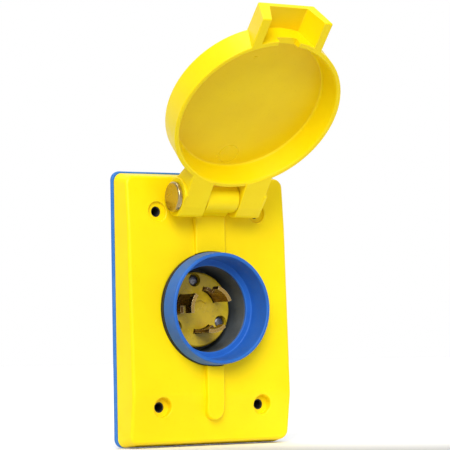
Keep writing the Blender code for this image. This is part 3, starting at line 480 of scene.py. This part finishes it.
def zinc_plate():
    """Zinc-plated steel, bright dipped: a bluish grey with cloudy spangle and darker dull specks."""
    material, tree, shader, place = begin("zinc_plated_steel", {"Metallic": 1.0})
    spangle = add(tree, "TexNoise", {"Scale": 1 / (2.5 * MM), "Detail": 3.0}, {"Vector": place})
    spangle = add(tree, "MapRange", {"From Min": 0.3, "From Max": 0.7}, {"Value": spangle})
    colour = add(tree, "Mix", {"data_type": "RGBA", 6: linear("9A9DA0"), 7: linear("C2C5C8")},
                 {0: spangle}, out=2)
    dull = add(tree, "TexNoise", {"Scale": 1 / (0.7 * MM), "Detail": 4.0}, {"Vector": place})
    dull = add(tree, "MapRange", {"From Min": 0.58, "From Max": 0.75, "To Max": 0.5}, {"Value": dull})
    colour = add(tree, "Mix", {"data_type": "RGBA", 7: linear("8A8578")}, {0: dull, 6: colour}, out=2)
    gloss = add(tree, "TexNoise", {"Scale": 1 / (2 * MM), "Detail": 4.0}, {"Vector": place})
    gloss = add(tree, "MapRange", {"From Min": 0.3, "From Max": 0.7, "To Min": 0.24, "To Max": 0.42},
                {"Value": gloss})
    waves = add(tree, "TexNoise", {"Scale": 1 / (1.5 * MM), "Detail": 3.0}, {"Vector": place})
    skin = add(tree, "TexNoise", {"Scale": 1 / (0.4 * MM), "Detail": 2.0}, {"Vector": place})
    return dress(material, tree, shader, colour, gloss, [(waves, 0.008 * MM), (skin, 0.003 * MM)])


def blackened_steel():
    """Steel screws, oil blackened: a dark grey, with painted highlights along the edges of the head and its
    recess.
    """
    material, tree, shader, place = begin("blackened_steel", {"Metallic": 1.0})
    oil = add(tree, "TexNoise", {"Scale": 1 / (1.2 * MM), "Detail": 4.0}, {"Vector": place})
    oil = add(tree, "MapRange", {"From Min": 0.3, "From Max": 0.7}, {"Value": oil})
    colour = add(tree, "Mix", {"data_type": "RGBA", 6: linear("66666E"), 7: linear("8C8C94")},
                 {0: oil}, out=2)
    # lighter along the edges of the head and its recess: painted highlight
    wear_and_highlight = edge_wear_and_highlight(tree, 0.3 * MM, wear_and_highlight=0.9)
    colour = add(tree, "Mix", {"data_type": "RGBA", 7: linear("C8C8CC")}, {0: wear_and_highlight, 6: colour}, out=2)
    gloss = add(tree, "TexNoise", {"Scale": 1 / (1 * MM), "Detail": 3.0}, {"Vector": place})
    gloss = add(tree, "MapRange", {"From Min": 0.3, "From Max": 0.7, "To Min": 0.22, "To Max": 0.38},
                {"Value": gloss})
    grit = add(tree, "TexNoise", {"Scale": 1 / (0.5 * MM), "Detail": 3.0}, {"Vector": place})
    return dress(material, tree, shader, colour, gloss, [(grit, 0.006 * MM)])


def painted_floor():
    """Matt studio paint, rolled: barely mottled, a pale grey in front that goes to white behind the
    object, the white being painted light from the bright room behind."""
    material, tree, shader, place = begin("rolled_matt_paint", {"IOR": 1.5, "Specular IOR Level": 0.1})
    coats = add(tree, "TexNoise", {"Scale": 1 / (60 * MM), "Detail": 3.0}, {"Vector": place})
    coats = add(tree, "MapRange", {"From Min": 0.3, "From Max": 0.7}, {"Value": coats})
    colour = add(tree, "Mix", {"data_type": "RGBA", 6: linear("C6C6C4"), 7: linear("CACAC8")},
                 {0: coats}, out=2)
    # whiter behind the object: painted light
    painted_backdrop_light = add(tree, "VectorMath", {"operation": "DOT_PRODUCT", 1: BEHIND}, {0: place}, out="Value")
    painted_backdrop_light = add(tree, "MapRange", {"From Min": -80 * MM, "From Max": -10 * MM}, {"Value": painted_backdrop_light})
    colour = add(tree, "Mix", {"data_type": "RGBA", 7: linear("FDFDFC")}, {0: painted_backdrop_light, 6: colour}, out=2)
    matt = add(tree, "TexNoise", {"Scale": 1 / (10 * MM), "Detail": 2.0}, {"Vector": place})
    matt = add(tree, "MapRange", {"From Min": 0.3, "From Max": 0.7, "To Min": 0.7, "To Max": 0.85},
               {"Value": matt})
    nap = add(tree, "TexNoise", {"Scale": 1 / (2 * MM), "Detail": 2.0}, {"Vector": place})
    return dress(material, tree, shader, colour, matt, [(nap, 0.01 * MM)])


YELLOW = moulded_polycarbonate("moulded_polycarbonate", "FCE006", "F9DA04", "F2CC02")
# a darker copy of the yellow for the ceiling inside the lid and the tab's floor: painted shade
SHADED_YELLOW = moulded_polycarbonate("polycarbonate_painted_shade", "F4D40A", "EECC08", "E2BE06")
NYLON = glass_filled_nylon("glass_filled_nylon", "1A1A1E", "242428", "3A3A40")
# a paler copy of the black nylon for the shroud, which sits in shade: painted light
PAINTED_LIGHT_NYLON = glass_filled_nylon("nylon_painted_light", "4A5054", "555C60", "686E72")
GASKET, ELASTOMER, FACE = cellular_gasket(), moulded_elastomer(), moulded_contact_face()
BRASS, STAINLESS, ZINC, BLACKENED = stamped_brass(), turned_stainless(), zinc_plate(), blackened_steel()

BODY_OF = {node: body for body, nodes in record["behaviour"]["bodies"].items() for node in nodes}


def fit(obj, material, node, sharp=32.0):
    """Shade and finish a piece and put it on its body in place of the plain solid."""
    obj.data.materials.clear()
    obj.data.materials.append(material)
    obj.data.shade_smooth()
    obj.data.set_sharp_from_angle(angle=math.radians(sharp))
    weighted = obj.modifiers.new("weighted_normals", "WEIGHTED_NORMAL")
    weighted.keep_sharp = True
    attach(obj, BODY_OF[node])
    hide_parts(node)


# ---- cover plate --------------------------------------------------------------------------
def profile_out(z):
    """Height of the front's side profile, whose last slopes run on past its ends."""
    spans = list(zip(FRONT, FRONT[1:]))
    (z_top, out_top), (z_low, out_low) = next((span for span in spans if z >= span[1][0]), spans[-1])
    return out_top + (out_low - out_top) * (z_top - z) / (z_top - z_low)


def front_out(z):
    """Height of the plate's front face, with its creases rounded over."""
    if z > FRONT[0][0] - CREASE or z < FRONT[-1][0] + CREASE:
        return profile_out(z)
    return (profile_out(z - CREASE) + 2 * profile_out(z) + profile_out(z + CREASE)) / 4


LEVELS = [crease + offset for crease, _ in FRONT[1:3]
          for offset in (CREASE, CREASE / 2, 0.0, -CREASE / 2, -CREASE)]


def plate_outline(inset, radius, steps=7):
    """Rounded rectangle of (x, z), counter-clockwise from the right, with a point at each crease level."""
    half_w, half_h = HALF_W - inset, HALF_H - inset
    right = [(half_w, z) for z in reversed(LEVELS)]
    left = [(-half_w, z) for z in LEVELS]
    corners = []
    for sx, sz, start in ((1, 1, 0), (-1, 1, 90), (-1, -1, 180), (1, -1, 270)):
        corners.append([(sx * (half_w - radius) + radius * math.cos(math.radians(start + 90 * i / steps)),
                         sz * (half_h - radius) + radius * math.sin(math.radians(start + 90 * i / steps)))
                        for i in range(steps + 1)])
    return right + corners[0] + corners[1] + left + corners[2] + corners[3]


def front_strips(steps=7):
    """Faces that close the front between the crease levels, as indices into plate_outline."""
    n, corner = len(LEVELS), steps + 1
    right = list(range(n))[::-1]                       # top level first
    left = [n + 2 * corner + i for i in range(n)]
    strips = [[right[0]] + list(range(n, n + 2 * corner)) + [left[0]]]
    strips += [[right[i + 1], right[i], left[i], left[i + 1]] for i in range(n - 1)]
    strips.append([left[-1]] + list(range(2 * n + 2 * corner, 2 * n + 4 * corner)) + [right[-1]])
    return strips


def pillow(name, inset, skin, edge, back):
    """Drafted block whose front follows the side profile, with its front edge rounded."""
    rings = []
    foot, steps = 0.4 * MM, 7
    for extra, out in ((foot, back), (0.0, back + foot)):
        outline = plate_outline(inset + extra, PLATE_CORNER - extra)
        rings.append([(x, -out, z) for x, z in outline])
    for k in range(steps + 1):
        a = math.radians(90 * k / steps)
        draw = PLATE_DRAFT + edge * (1 - math.cos(a))
        outline = plate_outline(inset + draw, PLATE_CORNER - 0.6 * edge * (1 - math.cos(a)))
        rings.append([(x, -(front_out(z) - skin - edge * (1 - math.sin(a))), z) for x, z in outline])
    return loft(name, rings, (None, front_strips()))


def well_cutter(point):
    """Cutter for the well round a screw hole; its mouth opens in a small radius at the front face."""
    steps, widest = 4, 80                  # the radius stops short of running flat into the face
    rows = [(WELL_R, lambda z: WELL_OUT)]
    for k in range(steps + 1):
        a = math.radians(widest * k / steps)
        rows.append((WELL_R + WELL_FLARE * (1 - math.cos(a)),
                     lambda z, a=a: front_out(z) - WELL_FLARE * (1 - math.sin(a))))
    rows.append((WELL_R + WELL_FLARE, lambda z: front_out(z) + 0.1 * MM))
    rows.append((WELL_R + WELL_FLARE, lambda z: OVER))
    return loft("well", [[(x, -out(z), z) for x, z in circle(r, point)] for r, out in rows])


def retainer_points():
    return [polar(PILOT_CIRCLE, a) for a in (35, 145, 215, 325)]


def corner_points():
    return [(sx * SCREW_X, sz * SCREW_Z) for sx in (-1, 1) for sz in (-1, 1)]


def pin_circle(radius, segments=48):
    return circle(radius, (-PIN_OUT, PIN_Z), segments)


def make_plate():
    plate = pillow("moulded_cover_plate", 0.0, 0.0, PLATE_EDGE, PLATE_BACK)
    # a pocket from behind, with bosses left standing round the inlet and the screws
    pocket = pillow("pocket", PLATE_RIM, PLATE_SKIN, POCKET_EDGE, PLATE_BACK - MM)
    bosses = [(point, SCREW_BOSS_R) for point in corner_points()]
    bosses += [(point, PILOT_BOSS_R) for point in retainer_points()]
    cut(pocket, disc("ring_boss", RING_BOSS_R, UNDER, OVER, segments=96))
    for point, radius in bosses:
        cut(pocket, disc("boss", radius, UNDER, OVER, point, 32))
    cut(plate, pocket)
    # arm from the collar up to the knuckle, the web under the knuckle, and the knuckle round the pin
    root = 8 * MM
    arm = [(-root, ARM_LOW), (-ARM_OUT, ARM_LOW), (-ARM_OUT, ARM_HIGH), (-root, ARM_HIGH)]
    join(plate, bevelled(bar_x("arm", arm, -ARM_HALF, ARM_HALF), 0.8 * MM))
    # the web's faces are kept a hair off the arm's and the knuckle's
    root, web_out, web_top = 9 * MM, PIN_OUT - 2.5 * MM, PIN_Z + 5.6 * MM
    web_half, web_foot_out = KNUCKLE_HALF - 0.03 * MM, ARM_OUT + 0.02 * MM
    web = [(-root, 38 * MM), (-web_foot_out, 40 * MM), (-web_out, PIN_Z - 5.9 * MM),
           (-web_out, web_top), (-root, web_top)]
    knuckle = bevelled(bar_x("knuckle", pin_circle(KNUCKLE_R, 64), -KNUCKLE_HALF, KNUCKLE_HALF), 0.35 * MM)
    join(knuckle, bevelled(bar_x("web", web, -web_half, web_half), 0.3 * MM))
    join(plate, knuckle)
    # rib below the collar, which the lid's notch clears
    outline = [(RIB_HALF, RIB_START), (-RIB_HALF, RIB_START)]
    steps = 16
    for i in range(steps + 1):
        x, z = polar(RIB_HALF, 180 + 180 * i / steps)
        outline.append((x, RIB_END + RIB_HALF + z))
    rib = prism("rib", outline, 9 * MM, 20 * MM)
    rib_foot, rib_foot_out, inside = -60 * MM, RIB_OUT - 2.6 * MM, 20 * MM
    side = [(inside, 0), (inside, rib_foot), (-rib_foot_out, rib_foot), (-RIB_OUT, RIB_CREASE), (-RIB_OUT, 0)]
    combine(rib, bar_x("rib_top", side, -HALF_W, HALF_W), "INTERSECT")
    join(plate, bevelled(rib, 0.7 * MM))
    # bores
    cut(plate, bar_x("pin_bore", pin_circle(PIN_R + GAP), -OVER, OVER),
        disc("collar_seat", BACKING_R + GAP, SEAT_OUT, OVER, segments=128),
        disc("collar_bore", NECK_R + GAP, UNDER, OVER, segments=128),
        disc("flange_recess", FLANGE_R + 6 * MM, UNDER, FLANGE_OUT + GAP, segments=96))
    for point in corner_points():
        cut(plate, disc("screw_hole", SCREW_HOLE_R, UNDER, OVER, point, 32), well_cutter(point))
    for point in retainer_points():
        cut(plate, disc("pilot", PILOT_R, UNDER, PILOT_OUT, point, 20))
    fit(plate, YELLOW, "cover_plate", 30.0)


# ---- blind black sleeves in the empty screw holes, as painted shade that darkens them ------------
def make_shade_sleeves():
    low, high, wall = PLATE_BACK + 0.1 * MM, WELL_OUT - 0.4 * MM, 0.5 * MM
    outer = SCREW_HOLE_R - 0.02 * MM
    points = [(0.0, low), (outer, low), (outer, high), (outer - wall, high), (outer - wall, low + wall),
              (0.0, low + wall)]
    profile = rounded(points, [0, 0.1 * MM, 0.12 * MM, 0.12 * MM, 0.1 * MM, 0], 3)
    for number, (x, z) in enumerate(corner_points(), 1):
        shade_sleeve = turned(f"screw_hole_shade_{number}", profile, 48, Matrix.Translation((x, 0.0, z)) @ OUTWARD)
        shade_sleeve.data.materials.append(NYLON)
        shade_sleeve.data.shade_smooth()
        shade_sleeve.data.set_sharp_from_angle(angle=math.radians(40.0))
        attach(shade_sleeve, BODY_OF["cover_plate"])


# ---- gasket ---------------------------------------------------------------------------------
def frame_outline(half_w, top, bottom, radius):
    corners = [(half_w, top), (-half_w, top), (-half_w, bottom), (half_w, bottom)]
    return rounded(corners, [radius] * 4, 8)


def make_gasket():
    thick, edge, steps = gasket_high.y - gasket_low.y, 0.5 * MM, 8
    window_r, slot_half, slot_high, slot_corner, hole_r = 33.4 * MM, 17 * MM, 50 * MM, 4 * MM, 2.5 * MM
    beyond = 10 * MM
    rings = []
    for k in range(steps + 1):
        a = math.pi * k / steps
        inset = edge * (1 - math.sin(a))
        outline = frame_outline(gasket_high.x - inset, gasket_high.z - inset, gasket_low.z + inset,
                                PLATE_CORNER)
        out = edge * (1 - math.cos(a)) if 2 * k < steps else thick - edge * (1 + math.cos(a))
        rings.append([(x, -out, z) for x, z in outline])
    gasket = loft("die_cut_gasket", rings)
    slot = frame_outline(slot_half, slot_high, -slot_high, slot_corner)
    cut(gasket, disc("round_window", window_r, UNDER, beyond, segments=96),
        prism("tall_window", slot, UNDER, beyond))
    for point in corner_points():
        cut(gasket, disc("hole", hole_r, UNDER, beyond, point, 24))
    fit(gasket, GASKET, "plate_gasket", 40.0)


# ---- collar -----------------------------------------------------------------------------------
def make_collar():
    back, ledge_back, ledge, lip = -collar_high.y, 10.6 * MM, 11.9 * MM, COLLAR_LIP
    bore_r, throat_r, ledge_r = 20.7 * MM, 18.6 * MM, 21.3 * MM
    lip_inner_r, lip_outer_r = 22.25 * MM, 23.75 * MM
    # each corner of the section is (radius, out, roundness in mm)
    section = [(NECK_R, back, 0.3), (NECK_R, COLLAR_FOOT, 0.3), (COLLAR_R, COLLAR_FOOT, 0.5),
               (COLLAR_R, COLLAR_FOOT + 1.2 * MM, 1.2), (lip_outer_r, lip, 0.7), (lip_inner_r, lip, 0.6),
               (ledge_r, ledge, 0.5), (throat_r, ledge, 0.4), (throat_r, ledge_back, 0.4),
               (bore_r, ledge_back, 0.3), (bore_r, back, 0.3)]
    profile = rounded([corner[:2] for corner in section], [corner[2] * MM for corner in section], 6)
    fit(turned("moulded_collar", profile, 144, OUTWARD), ELASTOMER, "sealing_collar", 50.0)


# ---- hinge pin ----------------------------------------------------------------------------------
def make_pin():
    head_back, head_front = -LUG_END - GAP, pin_low.x
    groove, groove_wide, groove_r, tail = LUG_END + GAP, 0.9 * MM, PIN_R - 0.6 * MM, pin_high.x
    # each corner of the section is (radius, height along the pin, roundness in mm)
    section = [(0.0, head_front, 0), (HEAD_R, head_front, 0.75), (HEAD_R, head_back, 0.2),
               (PIN_R, head_back, 0.1), (PIN_R, groove, 0.1), (groove_r, groove, 0.05),
               (groove_r, groove + groove_wide, 0.05), (PIN_R, groove + groove_wide, 0.1),
               (PIN_R, tail, 0.4), (0.0, tail, 0)]
    profile = rounded([corner[:2] for corner in section], [corner[2] * MM for corner in section], 6)
    fit(turned("turned_hinge_pin", profile, 96, ALONG_PIN), STAINLESS, "hinge_pin", 40.0)


# ---- lid ----------------------------------------------------------------------------------------
def tab_ring(half_rim, half_crown, out_rim, out_crown, t):
    return [(-half_rim, -out_rim, -t), (half_rim, -out_rim, -t), (half_crown, -out_crown, -t),
            (-half_crown, -out_crown, -t)]


def lug_and_barrel(side):
    """The lid's arm at one end of the pin, and the round barrel that stands proud of its outer face."""
    pitch, arm_end = 7.5, -16 * MM         # pitch is degrees between points
    around = [math.radians(90 - pitch * i) for i in range(25)]
    arm = [(min(-LUG_R * math.sin(a), LUG_FLAT), LUG_R * math.cos(a)) for a in around]
    arm += [(-LID_RIM, arm_end), (-2.4 * MM, arm_end)]
    step = 0.06 * MM
    barrel = [(min((LUG_R - step) * math.cos(a), LUG_FLAT - step), (LUG_R - step) * math.sin(a))
              for a in (math.radians(pitch * i + 3) for i in range(48))]
    shoulder = side * (LUG_END - LUG_INSET)
    low, high = sorted((side * (KNUCKLE_HALF + 0.4 * MM), shoulder))
    lug = bevelled(bar_x("lug", arm, low, high), 0.4 * MM, 3, 40.0)
    low, high = sorted((shoulder - side * MM, side * LUG_END))
    return lug, bevelled(bar_x("barrel", barrel, low, high), 0.4 * MM, 3, 50.0)


def lid_hollow():
    """Cutter for the lid's hollow, whose mouth opens in a radius."""
    lip, steps, below = 0.9 * MM, 4, LID_RIM - 9 * MM
    mouth = [(LID_MOUTH_R + lip * (1 - math.sin(a)), LID_RIM + lip * (1 - math.cos(a)))
             for a in (math.radians(20 + 70 * k / steps) for k in range(steps + 1))]
    floor = rounded([(0.0, below), (LID_MOUTH_R, below), (LID_CEILING_R, LID_CEILING), (0.0, LID_CEILING)],
                    [0, 0, 1.2 * MM, 0], 6)
    profile = [floor[0], (LID_MOUTH_R + lip, below), (LID_MOUTH_R + lip, LID_RIM - 0.2 * MM)]
    return turned("hollow", profile + mouth + floor[2:], 144, SHUT_LID)


def tab_hollow():
    """Cutter for the tab's hollow, kept clear of the lid's round wall."""
    inner = (TAB_HALF_RIM - TAB_WALL + 1.2 * MM, TAB_HALF_CROWN - TAB_WALL, LID_RIM - 3 * MM, LID_CEILING)
    rings = [tab_ring(*inner, t) for t in (TAB_ROOT - 10 * MM, TAB_END + 5 * MM)]
    grip = bevelled(loft("grip", rings), 0.5 * MM)
    keep_r, low, high = LID_R + 0.15 * MM, LID_RIM - 20 * MM, 20 * MM
    return cut(grip, turned("keep", [(0.0, low), (keep_r, low), (keep_r, high), (0.0, high)], 136, SHUT_LID))


def make_lid():
    """Made shut, about the hinge axis, then stood open."""
    outer = rounded([(0.0, LID_CROWN), (LID_CROWN_R, LID_CROWN), (LID_R, LID_RIM), (0.0, LID_RIM)],
                    [0, 1.7 * MM, 0.45 * MM, 0], 6)
    lid = turned("moulded_flip_lid", outer, 144, SHUT_LID)
    for side in (-1, 1):
        join(lid, *lug_and_barrel(side))
    tab = [tab_ring(TAB_HALF_RIM, TAB_HALF_CROWN, LID_RIM, LID_CROWN, t) for t in (TAB_ROOT, TAB_END)]
    join(lid, bevelled(loft("tab", tab), 0.6 * MM))
    cut(lid, box("notch", (-NOTCH_HALF, -LID_RIM - NOTCH_DEEP, -LID_REACH - LID_R - 2 * MM),
                 (NOTCH_HALF, -LID_RIM + 3 * MM, -LID_REACH - 20 * MM)))
    cut(lid, lid_hollow(), tab_hollow())
    # the ejector pin's round witness mark on the ceiling: a shallow ring-shaped groove
    mark_r, mouth_half, floor_half = 4.5 * MM, 0.35 * MM, 0.1 * MM
    mouth, floor = LID_CEILING - MM, LID_CEILING + 0.3 * MM
    mark = [(mark_r - mouth_half, mouth), (mark_r + mouth_half, mouth),
            (mark_r + floor_half, floor), (mark_r - floor_half, floor)]
    cut(lid, turned("ejector_mark", mark, 48, Matrix.Translation((0.5 * MM, 0.0, -19.8 * MM)) @ OUTWARD))
    # two short ribs left by the mould
    for x, t in ((-4.5 * MM, 18.5 * MM), (-5.7 * MM, 69.9 * MM)):
        half_w, half_h, proud = 0.7 * MM, 0.25 * MM, 0.3 * MM
        join(lid, bevelled(box("tick", (x - half_w, -LID_CEILING - proud, -t - half_h),
                               (x + half_w, -LID_CEILING + proud, -t + half_h)), 0.1 * MM, 2))
    cut(lid, bar_x("pin_bore", circle(PIN_R + GAP), -OVER, OVER))
    # faces on the ceiling plane, inside the lid and the tab, take the darker yellow as painted shade
    ceiling = [face.index for face in lid.data.polygons if abs(face.center.y + LID_CEILING) < 0.35 * MM
               and face.normal.y > 0.9]
    lid.data.transform(OPEN_LID)
    fit(lid, YELLOW, "flip_lid", 30.0)
    lid.data.materials.append(SHADED_YELLOW)
    for index in ceiling:
        lid.data.polygons[index].material_index = 1


# ---- smaller pieces, softened from their plain solids ----------------------------------------------
def softened(node, material, width):
    """The same shape with its edges broken, as stamping, turning or moulding leaves them."""
    sharp, flat = 38.0, 0.6                # degrees between faces: an edge, and no edge at all
    bm = bmesh.new()
    bm.from_mesh(frame["nodes"][node].data)
    bmesh.ops.remove_doubles(bm, verts=bm.verts, dist=WELD)
    bmesh.ops.dissolve_limit(bm, angle_limit=math.radians(flat), verts=bm.verts, edges=bm.edges)
    obj = bevelled(new_object(node + "_finished", bm), width, 2, sharp)
    fit(obj, material, node, sharp)


def make_face_screw(number):
    """Blackened screw with a domed head and a small cross recess, deep in its well."""
    node = f"carrier_screw_{number}"
    low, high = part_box(node)
    x, z = (low.x + high.x) / 2, (low.z + high.z) / 2
    head_r, top, tail = (high.x - low.x) / 2, -low.y, -high.y
    seat, shank, brim, steps = top - CARRIER_SCREW_HEAD, CARRIER_SCREW_SHANK, 0.5 * MM, 8
    points = [(0.0, tail), (shank, tail), (shank, seat), (head_r, seat), (head_r, seat + brim)]
    for k in range(1, steps):
        a = math.radians(90 * k / steps)
        points.append((head_r * math.cos(a), seat + brim + (top - seat - brim) * math.sin(a)))
    screw = turned(node + "_finished", points + [(0.0, top)], 48, Matrix.Translation((x, 0.0, z)) @ OUTWARD)
    narrow, wide, deep = 0.2 * MM, 0.95 * MM, 0.6 * MM
    for across, along in ((narrow, wide), (wide, narrow)):
        cut(screw, box("recess", (x - across, -top - MM, z - along), (x + across, -top + deep, z + along)))
    fit(screw, BLACKENED, node, 40.0)


make_plate()
make_shade_sleeves()
make_gasket()
make_collar()
make_pin()
make_lid()
# the shroud takes the paler nylon, as painted light
for node, material, width in (
        ("collar_backing_ring", NYLON, 0.2), ("inlet_shroud", PAINTED_LIGHT_NYLON, 0.2),
        ("terminal_housing", NYLON, 0.3), ("rear_cover", NYLON, 0.3), ("contact_carrier", FACE, 0.2),
        ("inlet_retainer", ZINC, 0.2), ("pin_retaining_clip", STAINLESS, 0.12)):
    softened(node, material, width * MM)
for wire in ("line", "ground", "neutral"):
    softened(wire + "_blade", BRASS, 0.22 * MM)
    softened(wire + "_clamp", ZINC, 0.2 * MM)
    softened(wire + "_terminal_screw", ZINC, 0.12 * MM)
for number in range(1, 4):
    make_face_screw(number)
for kind, count in (("rear_cover_screw", 3), ("retainer_screw", 4)):
    for number in range(1, count + 1):
        softened(f"{kind}_{number}", ZINC, 0.1 * MM)


# ---- stage, light and camera ------------------------------------------------------------------------
AMBIENT, KEY, TOP = 0.39, 2.75, 0.7         # the room in front of the object, and the two lamps


def make_floor():
    bm = bmesh.new()
    bmesh.ops.create_grid(bm, x_segments=8, y_segments=8, size=6.0)
    floor = new_object("floor", bm, Matrix.Translation((0.0, 0.0, cad_low.z - 0.2 * MM)))
    floor.data.materials.append(painted_floor())


def make_lamp(name, place, strength, spread):
    """Broad soft light from one direction, as from a large diffuser panel."""
    data = bpy.data.lights.new(name, "SUN")
    data.energy, data.angle = strength, math.radians(spread)
    lamp = bpy.data.objects.new(name, data)
    lamp.location = place
    lamp.rotation_euler = Vector(place).to_track_quat("Z", "Y").to_euler()
    bpy.context.scene.collection.objects.link(lamp)


def make_studio():
    """White room, bright behind the object and dimmer on the side that faces it."""
    world = bpy.data.worlds.new("studio")
    world.use_nodes = True
    tree = world.node_tree
    sky = add(tree, "TexCoord", out="Generated")
    facing = add(tree, "VectorMath", {"operation": "DOT_PRODUCT", 1: BEHIND}, {0: sky}, out="Value")
    strength = add(tree, "MapRange", {"From Min": 0.10, "From Max": 0.60, "To Min": AMBIENT},
                   {"Value": facing})
    background = tree.nodes["Background"]
    background.inputs["Color"].default_value = (1.0, 1.0, 1.0, 1.0)
    tree.links.new(strength, background.inputs["Strength"])
    scene = bpy.context.scene
    scene.world = world
    scene.view_settings.view_transform = "Standard"
    make_lamp("key", (-0.50, -0.80, 0.60), KEY, 40.0)
    make_lamp("top", (0.0, 0.1, 1.0), TOP, 30.0)
    make_floor()


def make_camera():
    data = bpy.data.cameras.new("camera")
    data.sensor_width, data.lens = 36.0, 170.32
    camera = bpy.data.objects.new("camera", data)
    camera.location = (-0.460310, -0.806638, -0.018789)
    camera.rotation_euler = [math.radians(a) for a in (93.42063, 1.09804, -30.48437)]
    bpy.context.scene.collection.objects.link(camera)
    bpy.context.scene.camera = camera


make_studio()
make_camera()
